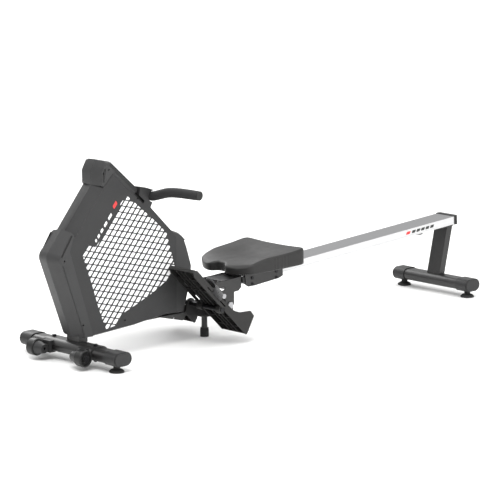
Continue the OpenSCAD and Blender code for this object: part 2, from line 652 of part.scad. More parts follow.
module carriage() color(steel_paint) placed() rail_frame() difference() {
    union() {
        translate([carriage_s, -52, deck_h]) cube([carriage_len, 104, 3]);
        for (y = [-52, 49]) slab(y, y + 3) polygon([[carriage_s, deck_h + 1], [carriage_s, -34],
            [carriage_s + 12, -42], [carriage_s + 40, -44], [carriage_s + carriage_len - 20, -42],
            [carriage_s + carriage_len, -36], [carriage_s + carriage_len, deck_h + 1]]);
    }
    for (s = axle_s) across([s, axle_h], 4.05, -60, 60);
    for (s = axle_s) across([s, -rail_h - 7], 3.05, -60, 60);
    for (s = axle_s) across([s, -15], 3.05, -60, 60);
}
module carriage_axles() color(silver) placed() rail_frame() for (s = axle_s) {
    across([s, axle_h], 4, -54, 54);
    across([s, -rail_h - 7], 3, -54, 54);
    both_sides() {
        across([s, axle_h], 7, -55.5, -52.1, 6);
        across([s, -rail_h - 7], 5.5, -55.5, -52.1, 6);
        across([s, -15], 6, -54.5, -52.1);
        across([s, -15], 3, -54, -47.5);
    }
}
module carriage_glides() color(dark_plastic) placed() rail_frame() difference() {
    for (s = axle_s) {
        both_sides() translate([s - 14, -48.9, -25]) cube([28, 4.5, 20]);
        across([s, -rail_h - 7], 6.5, -40, 40);
    }
    for (s = axle_s) across([s, -15], 3.1, -60, 60);
    for (s = axle_s) across([s, -rail_h - 7], 3.05, -60, 60);
}
module rollers(s) color(dark_plastic) placed() rail_frame() for (y = [-38, 20]) difference() {
    across([s, axle_h], roller_r, y, y + 18);
    across([s, axle_h], 4.05, y - 1, y + 19);
}
module rollers_front() rollers(axle_s[0]);
module rollers_rear() rollers(axle_s[1]);

// Moulded seat: wider and higher towards the back, its edges turned down
module seat_solid() intersection() {
    front_half = seat_half - 44;
    linear_extrude(90) polygon([[seat_front, -front_half], [seat_front + 34, -front_half - 18],
        [seat_front + seat_len, -seat_half], [seat_front + seat_len, seat_half],
        [seat_front + 34, front_half + 18], [seat_front, front_half]]);
    slab(-200, 200) polygon([[seat_front, 22], [seat_front + seat_len, 14], [seat_front + seat_len, 64],
        [seat_front + seat_len - 40, 70], [seat_front + 120, 66], [seat_front + 40, 60], [seat_front, 50]]);
    translate([seat_front - 1, 0, 0]) rotate([90, 0, 90]) linear_extrude(seat_len + 2)
        polygon(concat([[-seat_half - 1, 0], [seat_half + 1, 0]], arc([0, -250], 320, 62, 118, 14)));
}
module seat_pad() color(dark_plastic) placed() rail_frame() difference() {
    seat_solid();
    translate([seat_front + 20, -98, -20]) cube([seat_len - 44, 196, deck_h + 3.1 + 20]);
    translate([seat_front - 10, -35, -20]) cube([60, 70, deck_h + 3.1 + 20]);
    translate([seat_front + 100, -56, -20]) cube([seat_len, 112, deck_h + 3.1 + 20]);
}

module foot_front_left() placed() level_foot(0, -foot_y_front);
module foot_front_right() placed() level_foot(0, foot_y_front);
module foot_rear_left() placed() level_foot(wheelbase, -foot_y_rear);
module foot_rear_right() placed() level_foot(wheelbase, foot_y_rear);

front_stabilizer();
front_end_caps();
frame_bolts();
main_frame();
support_leg();
leg_foot();
wheel_brackets();
wheel_left();
wheel_right();
foot_front_left();
foot_front_right();
foot_rear_left();
foot_rear_right();
shell_left();
shell_right();
front_cover_left();
front_cover_right();
top_cap_left();
top_cap_right();
rear_cover_left();
rear_cover_right();
shell_screws();
console_body();
console_lens();
mode_button();
handle_cradle();
handle_bar();
handle_grips();
handle_plugs();
pull_strap();
strap_pulley();
flywheel();
flywheel_bearings();
flywheel_axle();
drive_reel();
reel_axle();
drive_belt();
recoil_spring();
brake_bracket();
brake_motor();
pedal_shaft();
pedal_left();
pedal_right();
pedal_strap_left();
pedal_strap_right();
hinge_pin();
lock_pin();
hinge_bracket();
rail();
rail_end_cap();
rail_stops();
rear_post();
rear_stabilizer();
rear_end_caps();
carriage();
carriage_axles();
carriage_glides();
rollers_front();
rollers_rear();
seat_pad();
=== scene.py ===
import math

import bmesh
import bpy
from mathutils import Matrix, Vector


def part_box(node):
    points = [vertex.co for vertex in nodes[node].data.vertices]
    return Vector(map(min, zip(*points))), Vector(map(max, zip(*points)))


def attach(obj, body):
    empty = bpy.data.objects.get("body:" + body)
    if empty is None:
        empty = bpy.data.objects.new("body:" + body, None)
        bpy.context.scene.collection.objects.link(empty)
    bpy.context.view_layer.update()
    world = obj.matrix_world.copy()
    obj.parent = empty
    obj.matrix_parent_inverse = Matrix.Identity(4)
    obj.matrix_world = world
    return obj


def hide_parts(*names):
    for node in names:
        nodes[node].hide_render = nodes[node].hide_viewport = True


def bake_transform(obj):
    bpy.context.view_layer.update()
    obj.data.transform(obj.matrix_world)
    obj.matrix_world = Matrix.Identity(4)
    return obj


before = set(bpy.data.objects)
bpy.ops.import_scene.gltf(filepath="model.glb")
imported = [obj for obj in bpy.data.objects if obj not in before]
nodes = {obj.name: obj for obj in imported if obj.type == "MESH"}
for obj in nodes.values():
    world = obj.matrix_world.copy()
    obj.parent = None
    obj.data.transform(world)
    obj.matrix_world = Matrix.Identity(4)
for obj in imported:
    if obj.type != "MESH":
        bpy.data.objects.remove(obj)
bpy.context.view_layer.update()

MM = 0.001
front_low, front_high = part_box("front_stabilizer")
ORIGIN_X = (front_low.x + front_high.x) / 2

RAIL_TILT = math.radians(4.23)
RAIL_BASE_Z = 146.1
RAIL_HALF = 44
PEDAL_AXLE = (488, 133)
PEDAL_TILT = math.radians(44)
PEDAL_IN = 70
PEDAL_W = 120
SIDE_Y = 52
SIDES = (-1, 1)


def at(x, y, z):
    """A point of the CAD in metres, in the row frame."""
    return Vector((ORIGIN_X + x * MM, y * MM, z * MM))


def on_rail(s, y, h):
    """A point s along the rail, y to the side and h above its top face."""
    c, d = math.cos(RAIL_TILT), math.sin(RAIL_TILT)
    return at(s * c - h * d, y, RAIL_BASE_Z + s * d + h * c)


def on_pedal(x, y, z):
    """A point in the pedal's own frame, whose x runs down the sole towards the heel."""
    c, d = math.cos(PEDAL_TILT), math.sin(PEDAL_TILT)
    return at(PEDAL_AXLE[0] + x * c + z * d, y, PEDAL_AXLE[1] - x * d + z * c)


def on_slope(x, y, z):
    """A point on the housing's sloping top face, x down the slope from its upper end."""
    a = math.atan2(646 - 515, 262 - 112)
    c, d = math.cos(a), math.sin(a)
    return at(112 + x * c + z * d, y, 646 - x * d + z * c)


# Height of the rail's top face once the row frame is turned by the rail's tilt about its origin
RAIL_FACE_Z = -on_rail(0, 0, 0).x * math.sin(RAIL_TILT) + on_rail(0, 0, 0).z * math.cos(RAIL_TILT)


# ---------------------------------------------------------------- materials

class Surface:
    """A Principled material whose colour, roughness and relief come from textures in object space."""

    def __init__(self, name, colour, rough, metal=0.0, specular=0.5):
        self.material = bpy.data.materials.new(name)
        self.material.use_nodes = True
        self.tree = self.material.node_tree
        self.shader = self.tree.nodes["Principled BSDF"]
        self.colour = colour
        self.rough = rough
        self.shader.inputs["Base Color"].default_value = (*colour, 1)
        self.shader.inputs["Roughness"].default_value = rough
        self.shader.inputs["Metallic"].default_value = metal
        self.shader.inputs["Specular IOR Level"].default_value = specular
        self.place = self.add("ShaderNodeTexCoord").outputs["Object"]
        self.relief = None

    def add(self, kind):
        return self.tree.nodes.new(kind)

    def link(self, source, target):
        self.tree.links.new(source, target)

    def stretched(self, scale, turn=(0, 0, 0)):
        """Object coordinates turned and then scaled differently along each axis."""
        spin = self.add("ShaderNodeMapping")
        spin.inputs["Rotation"].default_value = turn
        grow = self.add("ShaderNodeMapping")
        grow.inputs["Scale"].default_value = scale
        self.link(self.place, spin.inputs["Vector"])
        self.link(spin.outputs["Vector"], grow.inputs["Vector"])
        return grow.outputs["Vector"]

    def noise(self, scale, detail=3.0, place=None):
        texture = self.add("ShaderNodeTexNoise")
        texture.inputs["Scale"].default_value = scale
        texture.inputs["Detail"].default_value = detail
        self.link(place or self.place, texture.inputs["Vector"])
        return texture.outputs["Fac"]

    def cells(self, scale, place=None):
        texture = self.add("ShaderNodeTexVoronoi")
        texture.feature = "SMOOTH_F1"
        texture.inputs["Scale"].default_value = scale
        self.link(place or self.place, texture.inputs["Vector"])
        return texture.outputs["Distance"]

    def wave(self, scale, axis, place=None):
        texture = self.add("ShaderNodeTexWave")
        texture.bands_direction = axis
        texture.inputs["Scale"].default_value = scale
        self.link(place or self.place, texture.inputs["Vector"])
        return texture.outputs["Fac"]

    def mottled(self, source, spread):
        """Lets the colour vary by spread each way, with the texture."""
        ramp = self.add("ShaderNodeValToRGB")
        ramp.color_ramp.elements[0].position = 0.3
        ramp.color_ramp.elements[1].position = 0.7
        ramp.color_ramp.elements[0].color = (*[c * (1 - spread) for c in self.colour], 1)
        ramp.color_ramp.elements[1].color = (*[min(1, c * (1 + spread)) for c in self.colour], 1)
        self.link(source, ramp.inputs["Fac"])
        self.link(ramp.outputs["Color"], self.shader.inputs["Base Color"])
        return self

    def uneven(self, source, spread):
        """Lets the roughness vary by spread each way, with the texture."""
        span = self.add("ShaderNodeMapRange")
        span.inputs["To Min"].default_value = max(0.02, self.rough - spread)
        span.inputs["To Max"].default_value = min(1, self.rough + spread)
        self.link(source, span.inputs["Value"])
        self.link(span.outputs["Result"], self.shader.inputs["Roughness"])
        return self

    def shaded_top_face(self):
        """Darkens the rail's whole top face: painted shade, so it reads darker than the lit sides."""
        spin = self.add("ShaderNodeMapping")
        spin.vector_type = "POINT"
        spin.inputs["Rotation"].default_value = (0, RAIL_TILT, 0)
        self.link(self.place, spin.inputs["Vector"])
        parts = self.add("ShaderNodeSeparateXYZ")
        self.link(spin.outputs["Vector"], parts.inputs["Vector"])
        top = self.add("ShaderNodeMapRange")
        face = RAIL_FACE_Z - 1.2 * MM
        top.inputs["From Min"].default_value = face
        top.inputs["From Max"].default_value = face + 0.6 * MM
        self.link(parts.outputs["Z"], top.inputs["Value"])
        blend = self.add("ShaderNodeMix")
        blend.data_type = "RGBA"
        blend.blend_type = "MULTIPLY"
        # Multiplier that darkens the top face: painted shade.
        blend.inputs["B"].default_value = (0.34, 0.34, 0.345, 1)
        self.link(top.outputs["Result"], blend.inputs["Factor"])
        self.link(self.shader.inputs["Base Color"].links[0].from_socket, blend.inputs["A"])
        self.link(blend.outputs["Result"], self.shader.inputs["Base Color"])
        return self

    def raised(self, source, depth, strength=1.0):
        """Adds relief of a depth in millimetres."""
        bump = self.add("ShaderNodeBump")
        bump.inputs["Strength"].default_value = strength
        bump.inputs["Distance"].default_value = depth * MM
        self.link(source, bump.inputs["Height"])
        if self.relief:
            self.link(self.relief, bump.inputs["Normal"])
        self.relief = bump.outputs["Normal"]
        self.link(self.relief, self.shader.inputs["Normal"])
        return self


def moulded(name, colour, rough, grain, depth):
    """Moulded plastic with a fine spark-eroded grain and slightly uneven gloss."""
    s = Surface(name, colour, rough, specular=0.36)
    s.mottled(s.noise(14, 4), 0.07)
    s.uneven(s.noise(60, 4), 0.07)
    return s.raised(s.noise(grain, 2), depth, 0.6)


def painted_steel(name, colour, rough):
    """Powder coat: a fine orange-peel skin on the tube."""
    s = Surface(name, colour, rough)
    s.mottled(s.noise(9, 3), 0.06)
    s.uneven(s.noise(120, 3), 0.05)
    return s.raised(s.cells(420), 0.08, 0.5)


def metal(name, colour, rough, marks, depth):
    """Bright metal with fine machining marks."""
    s = Surface(name, colour, rough, metal=1.0)
    s.mottled(s.noise(40, 3), 0.07)
    s.uneven(s.noise(marks, 3), 0.08)
    return s.raised(s.noise(marks, 2), depth, 0.5)


def rail_metal(name):
    """Satin anodised aluminium, extruded: faint lines run along the rail, and the top face is painted darker as
    shade.
    """
    s = Surface(name, (0.66, 0.66, 0.665), 0.36, metal=0.6)
    lines = s.noise(160, 3, s.stretched((0.02, 6, 6), (0, RAIL_TILT, 0)))
    s.mottled(lines, 0.04)
    s.uneven(lines, 0.07)
    s.shaded_top_face()
    return s.raised(lines, 0.02, 0.4)


def foam(name):
    """Closed-cell foam of the grips, with a matt pitted skin."""
    s = Surface(name, (0.012, 0.012, 0.0125), 0.7, specular=0.4)
    s.mottled(s.noise(260, 4), 0.25)
    s.uneven(s.noise(90, 3), 0.06)
    return s.raised(s.cells(900), 0.18, 0.7)


def seat_skin(name):
    """Integral-skin foam of the seat, with a fine leather grain."""
    s = Surface(name, (0.012, 0.0115, 0.0112), 0.5, specular=0.4)
    s.mottled(s.noise(30, 5), 0.16)
    s.uneven(s.noise(45, 4), 0.08)
    s.raised(s.cells(520), 0.10, 0.55)
    return s.raised(s.noise(1500, 2), 0.05, 0.5)


def webbing(name, colour):
    """Woven strap: ribs across it and finer yarns along it."""
    s = Surface(name, colour, 0.8, specular=0.25)
    s.shader.inputs["Sheen Weight"].default_value = 0.3
    s.mottled(s.noise(500, 3), 0.3)
    s.raised(s.wave(420, "X"), 0.25, 0.8)
    s.raised(s.wave(300, "Z"), 0.2, 0.6)
    return s.raised(s.wave(300, "Y"), 0.15, 0.6)


def rubber(name, colour=(0.016, 0.016, 0.016), rough=0.72):
    s = Surface(name, colour, rough, specular=0.35)
    s.mottled(s.noise(50, 4), 0.2)
    s.uneven(s.noise(25, 3), 0.08)
    return s.raised(s.noise(700, 3), 0.12, 0.6)


def printed(name, colour, rough=0.42):
    """Screen-printed film, a little uneven."""
    s = Surface(name, colour, rough)
    s.mottled(s.noise(35, 3), 0.02)
    s.uneven(s.noise(150, 3), 0.06)
    return s.raised(s.noise(1100, 2), 0.04, 0.4)


LOOK = {
    "housing_side": moulded("housing_side_plastic", (0.020, 0.020, 0.0205), 0.46, 1000, 0.14),
    # A lighter copy of the housing plastic for the covers, caps and console skirt: painted light on faces that
    # catch more of the lamps.
    "housing_trim_lit_copy": moulded("housing_plastic_lit_copy", (0.030, 0.030, 0.0305), 0.48, 1000, 0.14),
    "pedal": moulded("pedal_plastic", (0.012, 0.0115, 0.011), 0.45, 850, 0.16),
    "cap": moulded("cap_plastic", (0.020, 0.020, 0.0205), 0.42, 900, 0.12),
    "dark": moulded("dark_plastic", (0.007, 0.007, 0.007), 0.42, 900, 0.1),
    "wheel": moulded("wheel_plastic", (0.010, 0.010, 0.010), 0.38, 600, 0.08),
    "button": moulded("button_plastic", (0.12, 0.12, 0.13), 0.35, 600, 0.05),
    "frame": painted_steel("frame_powder_coat", (0.015, 0.0145, 0.0145), 0.34),
    "bolt": metal("black_oxide_steel", (0.035, 0.035, 0.037), 0.42, 300, 0.04),
    "steel": metal("plated_steel", (0.40, 0.40, 0.41), 0.3, 400, 0.03),
    "iron": metal("flywheel_iron", (0.24, 0.24, 0.25), 0.45, 180, 0.08),
    "rail": rail_metal("rail_aluminium"),
    "foam": foam("grip_foam"),
    "seat": seat_skin("seat_skin"),
    "webbing": webbing("pull_webbing", (0.016, 0.016, 0.017)),
    "rubber": rubber("hard_rubber"),
    "belt": rubber("belt_rubber", (0.012, 0.012, 0.012), 0.6),
    "white": printed("white_print", (0.86, 0.86, 0.86)),
    "red": printed("red_print", (0.62, 0.03, 0.03)),
    "glass": printed("screen_glass", (0.20, 0.23, 0.21), 0.12),
    "ink": printed("screen_ink", (0.02, 0.022, 0.02), 0.3),
}

NODE_LOOKS = {
    "housing_side": ["shell_left", "shell_right"],
    "housing_trim_lit_copy": ["front_cover_left", "front_cover_right", "top_cap_left", "top_cap_right",
                     "rear_cover_left", "rear_cover_right"],
    "pedal": ["pedal_left", "pedal_right"],
    "cap": ["front_end_caps", "rear_end_caps", "wheel_brackets", "console_body", "handle_cradle"],
    "dark": ["rail_end_cap", "rail_stops", "strap_pulley", "carriage_glides", "drive_reel", "handle_plugs"],
    "wheel": ["wheel_left", "wheel_right", "rollers_front", "rollers_rear"],
    "button": ["mode_button"],
    "frame": ["front_stabilizer", "rear_stabilizer", "main_frame", "support_leg", "rear_post", "hinge_bracket",
              "carriage", "brake_bracket"],
    "bolt": ["frame_bolts", "shell_screws", "brake_motor", "carriage_axles", "pedal_shaft"],
    "steel": ["handle_bar", "hinge_pin", "lock_pin", "flywheel_axle", "reel_axle", "recoil_spring",
              "flywheel_bearings"],
    "iron": ["flywheel"],
    "rail": ["rail"],
    "rubber": ["foot_front_left", "foot_front_right", "foot_rear_left", "foot_rear_right", "leg_foot"],
    "belt": ["drive_belt"],
    "glass": ["console_lens"],
}
# Radius of the moulded or worn edge of each kind of piece, in millimetres
EDGE = {"housing_side": 1.4, "housing_trim_lit_copy": 1.4, "pedal": 1.2, "cap": 1.6, "dark": 0.6, "wheel": 0.8,
        "button": 1.0, "frame": 0.7, "bolt": 0.5, "steel": 0.5, "iron": 0.6, "rail": 0.4, "rubber": 0.8,
        "belt": 0.3, "glass": 0.4}


def soften(obj, width):
    """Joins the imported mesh's faces and rounds its sharp edges, in modifiers alone."""
    weld = obj.modifiers.new("weld", "WELD")
    weld.merge_threshold = 0.01 * MM
    flat = obj.modifiers.new("flat", "DECIMATE")
    flat.decimate_type = "DISSOLVE"
    flat.angle_limit = math.radians(0.6)
    edge = obj.modifiers.new("edge", "BEVEL")
    edge.width = width * MM
    edge.segments = 2
    edge.limit_method = "ANGLE"
    edge.angle_limit = math.radians(32)
    edge.harden_normals = True
    shade = obj.modifiers.new("shade", "WEIGHTED_NORMAL")
    shade.keep_sharp = False


def dress(obj, look):
    obj.data.materials.clear()
    obj.data.materials.append(LOOK[look].material)


for look, names in NODE_LOOKS.items():
    for node_name in names:
        dress(nodes[node_name], look)
        for polygon in nodes[node_name].data.polygons:
            polygon.use_smooth = True
        soften(nodes[node_name], EDGE[look])


# ---------------------------------------------------------------- mesh helpers

def make(name, mesh, look, body, standing_for=()):
    """Turns a bmesh into a piece that rides on a body."""
    bmesh.ops.recalc_face_normals(mesh, faces=mesh.faces)
    data = bpy.data.meshes.new(name)
    mesh.to_mesh(data)
    mesh.free()
    obj = bpy.data.objects.new(name, data)
    bpy.context.scene.collection.objects.link(obj)
    dress(obj, look)
    for polygon in data.polygons:
        polygon.use_smooth = True
    if body:
        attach(obj, body)
    if standing_for:
        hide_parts(*standing_for)
    return obj


def skin_rings(mesh, rings, closed_ends=True):
    """Joins rings of points, each with the same number of points, into a skin."""
    loops = [[mesh.verts.new(p) for p in ring] for ring in rings]
    for first, second in zip(loops, loops[1:]):
        count = len(first)
        for i in range(count):
            j = (i + 1) % count
            mesh.faces.new((first[i], first[j], second[j], second[i]))
    if closed_ends:
        mesh.faces.new(list(reversed(loops[0])))
        mesh.faces.new(loops[-1])


def eased(path, count=10):
    """Rounds the bends of a path with parabolas, as the bar is bent."""
    points = [Vector(p) for p in path]
    line = [points[0]]
    for i in range(1, len(points) - 1):
        a = (points[i - 1] + points[i]) / 2
        b = points[i]
        c = (points[i] + points[i + 1]) / 2
        for k in range(count + 1):
            t = k / count
            line.append((1 - t) ** 2 * a + 2 * t * (1 - t) * b + t * t * c)
    line.append(points[-1])
    return [p for i, p in enumerate(line) if i == 0 or (p - line[i - 1]).length > 1e-6]


def tube_rings(path, radii, sides=32):
    """Rings of points square to a path, with a radius at each point."""
    rings = []
    for k, point in enumerate(path):
        ahead = path[min(k + 1, len(path) - 1)]
        behind = path[max(k - 1, 0)]
        tangent = (ahead - behind).normalized()
        side = tangent.cross(Vector((0, 0, 1))).normalized()
        up = side.cross(tangent)
        rings.append([point + radii[k] * (math.cos(a) * side + math.sin(a) * up)
                      for a in (2 * math.pi * i / sides for i in range(sides))])
    return rings


def prism(mesh, outline, lift):
    """A thin plate on an outline of points, raised by the vector lift."""
    low = [mesh.verts.new(p) for p in outline]
    high = [mesh.verts.new(p + lift) for p in outline]
    count = len(outline)
    mesh.faces.new(high)
    mesh.faces.new(list(reversed(low)))
    for i in range(count):
        j = (i + 1) % count
        mesh.faces.new((low[i], low[j], high[j], high[i]))


def rounded_box(mesh, centre, size, radius, turn=None):
    """A box with its vertical edges cut and all its edges softened, for small moulded details."""
    half = [v / 2 for v in size]
    r = min(radius, *half) * 0.999
    rings = []
    for z, shrink in ((-half[2], r), (-half[2] + r * 0.3, r * 0.3), (-half[2] + r, 0),
                      (half[2] - r, 0), (half[2] - r * 0.3, r * 0.3), (half[2], r)):
        ring = []
        for quarter in range(4):
            cx = (half[0] - r) * (1, -1, -1, 1)[quarter]
            cy = (half[1] - r) * (1, 1, -1, -1)[quarter]
            for k in range(4):
                a = math.pi / 2 * (quarter + k / 3)
                ring.append(Vector((cx + (r - shrink) * math.cos(a), cy + (r - shrink) * math.sin(a), z)))
        rings.append(ring)
    place = turn or (lambda x, y, z: at(x, y, z))
    skin_rings(mesh, [[place(centre[0] + p.x, centre[1] + p.y, centre[2] + p.z) for p in ring] for ring in rings])


# ---------------------------------------------------------------- seat

SEAT_FRONT = 642
SEAT_LEN = 284
SEAT_HALF = 152
SEAT_SKIRT_LOW = 21


def seat_width(s):
    """Half the seat's width at s along the rail."""
    u = min(1, max(0, (s - SEAT_FRONT) / SEAT_LEN))
    return SEAT_HALF - 44 * (1 - u) ** 1.35


def seat_height(s, y):
    """Height of the seat's top above the rail: a dished centre with raised rims and a low front."""
    u = (s - SEAT_FRONT) / SEAT_LEN
    v = y / seat_width(s)
    front_drop = (7 + 19 * min(1, abs(v)) ** 2) * max(0, 1 - u / 0.42) ** 1.6
    rim = 5.0 * abs(v) ** 3 + 5.5 * max(0, (u - 0.6) / 0.4) ** 2
    dish = 12 * math.exp(-((u - 0.55) / 0.24) ** 2 - (v / 0.62) ** 4)
    channel = 2.2 * math.exp(-(v / 0.16) ** 2) * min(1, u / 0.3) * (1 - u ** 2)
    return 60.5 + 2.5 * u + rim - dish - channel - front_drop


def seat_outline():
    """Plan outline of the seat: a rounded trapezoid with a notch in the middle of its front."""
    corners = [(SEAT_FRONT, -30), (SEAT_FRONT, -56), (SEAT_FRONT + 10, -82), (SEAT_FRONT + 38, -121),
               (SEAT_FRONT + 56, -130), (SEAT_FRONT + 150, -143), (SEAT_FRONT + 262, -151),
               (SEAT_FRONT + 283, -140), (SEAT_FRONT + 283, -60)]
    half = [Vector((x, y, 0)) for x, y in corners]
    loop = half + [Vector((p.x, -p.y, 0)) for p in reversed(half)]
    for _ in range(3):
        cut = []
        for i, p in enumerate(loop):
            q = loop[(i + 1) % len(loop)]
            cut += [p.lerp(q, 0.2), p.lerp(q, 0.8)]
        loop = cut
    steps = []
    for i, p in enumerate(loop):
        q = loop[(i + 1) % len(loop)]
        pieces = max(1, round((q - p).length / 3.2))
        steps += [p.lerp(q, k / pieces) for k in range(pieces)]
    for p in steps:
        if p.x < SEAT_FRONT + 60:
            p.x += 21 * math.exp(-(p.y / 30) ** 4)
    return steps


def seat_ribs(p):
    """How far the side ribs stand out of the skirt at a point of the outline."""
    along = (p.x - SEAT_FRONT - 128) / 76
    if not 0 < along < 1 or abs(p.y) < 100:
        return 0
    fade = math.sin(math.pi * along) ** 0.5
    return 2.6 * fade * max(0, math.cos(2 * math.pi * along * 5)) ** 0.7


def build_seat():
    outline = seat_outline()
    centre = Vector((SEAT_FRONT + 0.52 * SEAT_LEN, 0, 0))
    roll = 9
    drop = 7
    rings = []

    def ring(scale, height, ribs=0.0):
        points = []
        for p in outline:
            spoke = p - centre
            reach = spoke.length
            q = centre + spoke * ((reach * scale[0] - scale[1] + ribs * seat_ribs(p)) / reach)
            points.append(on_rail(q.x, q.y, height(q, p)))
        rings.append(points)

    for part in (0.04, 0.12, 0.22, 0.33, 0.44, 0.55, 0.66, 0.76, 0.85, 0.93, 1.0):
        ring((part, roll * part), lambda q, p: seat_height(q.x, q.y))
    for step in range(1, 6):
        a = math.pi / 2 * step / 5
        ring((1, roll * (1 - math.sin(a))),
             lambda q, p, a=a: seat_height(p.x, p.y) - drop * (1 - math.cos(a)), step / 5 * 0.6)
    low = lambda p: SEAT_SKIRT_LOW - 7 * (p.x - SEAT_FRONT) / SEAT_LEN
    for down in (0.2, 0.42, 0.64, 0.84):
        ring((1, 1.6 * down),
             lambda q, p, d=down: (seat_height(p.x, p.y) - drop) * (1 - d) + low(p) * d, math.sin(math.pi * down))
    ring((1, 2.2), lambda q, p: low(p) + 2)
    ring((1, 4.5), lambda q, p: low(p))
    ring((1, 7), lambda q, p: low(p) + 2)
    ring((1, 8), lambda q, p: 30)
    ring((1, 11), lambda q, p: 33)
    for part in (0.75, 0.5, 0.25, 0.05):
        ring((part, 11 * part), lambda q, p: 33)
    mesh = bmesh.new()
    skin_rings(mesh, rings)
    seat = make("seat_cushion", mesh, "seat", "seat", ["seat_pad"])
    return seat


build_seat()


# ---------------------------------------------------------------- handlebar grips

GRIP_PATH = [(301, -42, 523.5), (301, -52, 523.5), (307, -76, 531), (318, -123, 545), (334, -242, 544)]
GRIP_R = 16.4


def grip_radius(along, length):
    """Foam sleeve: rounded at both ends, with a slight swell under the palm."""
    edge = min(along, length - along)
    round_end = 4.0
    cut = round_end - math.sqrt(max(0, round_end ** 2 - (round_end - min(edge, round_end)) ** 2))
    return GRIP_R - cut - 0.7 * (1 - math.sin(math.pi * min(1, along / length))) ** 2


def build_grips():
    mesh = bmesh.new()
    for side in SIDES:
        path = [Vector(p) for p in eased([(x, -side * y, z) for x, y, z in GRIP_PATH], 12)]
        extra = []
        for i, (p, q) in enumerate(zip(path, path[1:])):
            pieces = max(1, round((q - p).length / 3))
            extra += [p.lerp(q, k / pieces) for k in range(pieces)]
        extra.append(path[-1])
        ends = [0.4, 1.0, 2.0, 3.2]
        direction = (extra[-1] - extra[-2]).normalized()
        start = (extra[1] - extra[0]).normalized()
        first, last = extra[0], extra[-1]
        inner = [p for p in extra if (p - first).length > 4 and (p - last).length > 4]
        extra = ([first] + [first + start * e for e in ends] + inner
                 + [last - direction * e for e in reversed(ends)] + [last])
        lengths = [0]
        for p, q in zip(extra, extra[1:]):
            lengths.append(lengths[-1] + (q - p).length)
        radii = [grip_radius(s, lengths[-1]) * MM for s in lengths]
        rings = tube_rings([at(*p) for p in extra], radii, 36)
        skin_rings(mesh, rings)
    grips = make("foam_grips", mesh, "foam", "handlebar", ["handle_grips"])


build_grips()


# ---------------------------------------------------------------- straps

def band(mesh, line, width_vector, thickness):
    """A flat band along a line of points, with rounded edges; thickness is square to it."""
    rings = []
    for k, point in enumerate(line):
        ahead = line[min(k + 1, len(line) - 1)]
        behind = line[max(k - 1, 0)]
        tangent = (ahead - behind).normalized()
        out = tangent.cross(width_vector).normalized()
        w = width_vector / 2
        t = out * thickness / 2
        nip = width_vector.normalized() * thickness * 0.4
        rings.append([point - w, point - w + nip + t, point + w - nip + t, point + w,
                      point + w - nip - t, point - w + nip - t])
    skin_rings(mesh, rings)


DRUM = Vector((245, 0, 400))
PULLEY = Vector((238, 0, 507))
DRUM_R = 35
PULLEY_R = 14
STRAP_T = 1.6
STRAP_W = 25
CLAMP_X = 286.6
MOUTH_X = 254


def build_pull_strap():
    """Webbing that comes off the drum, over the pulley and straight out to the handlebar."""
    back = (DRUM - PULLEY).normalized()
    side = Vector((back.z, 0, -back.x))
    if side.x > 0:
        side = -side
    lift = 0.3 + STRAP_T / 2
    line = []
    foot = DRUM + side * (DRUM_R + lift)
    top_of_run = PULLEY + side * (PULLEY_R + lift)
    for k in range(12):
        line.append(foot.lerp(top_of_run, k / 12))
    a0 = math.atan2(side.z, side.x)
    if a0 < 0:
        a0 += 2 * math.pi
    for k in range(13):
        a = a0 + (math.pi / 2 - a0) * k / 12
        line.append(PULLEY + Vector((math.cos(a), 0, math.sin(a))) * (PULLEY_R + lift))
    level = PULLEY.z + PULLEY_R + lift
    for k in range(1, 5):
        line.append(Vector((PULLEY.x + (MOUTH_X - PULLEY.x) * k / 4, 0, level)))
    for k in range(1, 61):
        line.append(Vector((MOUTH_X + (CLAMP_X - MOUTH_X) * k / 60, 0, level)))
    mesh = bmesh.new()
    band(mesh, [at(*p) for p in line], Vector((0, STRAP_W * MM, 0)), STRAP_T * MM)
    strap = make("pull_webbing", mesh, "webbing", None, ["pull_strap"])
    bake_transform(strap)
    return strap


build_pull_strap()


def build_pedal_strap(side, name, node, body):
    """Webbing arch over the sole, with its ends in the pedal's slots and a hook-and-loop overlap on top."""
    mid = PEDAL_IN + PEDAL_W / 2
    half = PEDAL_W / 2
    mesh = bmesh.new()

    def arch(radius_y, radius_z, start, end, steps):
        return [(mid + radius_y * math.cos(a), 24 + radius_z * math.sin(a))
                for a in (start + (end - start) * k / steps for k in range(steps + 1))]

    main = [(mid + half + 1.9, 13)] + arch(half + 1.9, 34.8, 0, math.pi, 36) + [(mid - half - 1.9, 13)]
    overlap = arch(half + 1.2, 36.6, math.radians(38), math.radians(128), 20)
    width = on_pedal(-32, 0, 0) - on_pedal(-80, 0, 0)
    for route, thickness in ((main, 2.0), (overlap, 1.5)):
        band(mesh, [on_pedal(-56, side * y, z) for y, z in route], width, thickness * MM)
    return make(name, mesh, "webbing", body, [node])


build_pedal_strap(-1, "foot_strap_left", "pedal_strap_left", "pedal_l")
build_pedal_strap(1, "foot_strap_right", "pedal_strap_right", "pedal_r")


def build_treads(side, name, body):
    """Rows of low grip bars on the sole, with a gap where the strap comes through."""
    mesh = bmesh.new()
    mid = PEDAL_IN + PEDAL_W / 2
    for k in range(20):
        x = -182 + 15 * k
        if -20 < x < 16:
            continue
        for shift in SIDES:
            rounded_box(mesh, (x, side * (mid + shift * 25), 23.0), (6, 42, 2.4), 0.9,
                        lambda a, b, c: on_pedal(a, b, c))
    return make(name, mesh, "pedal", body)


build_treads(-1, "sole_treads_left", "pedal_l")
build_treads(1, "sole_treads_right", "pedal_r")


# ---------------------------------------------------------------- printed graphics

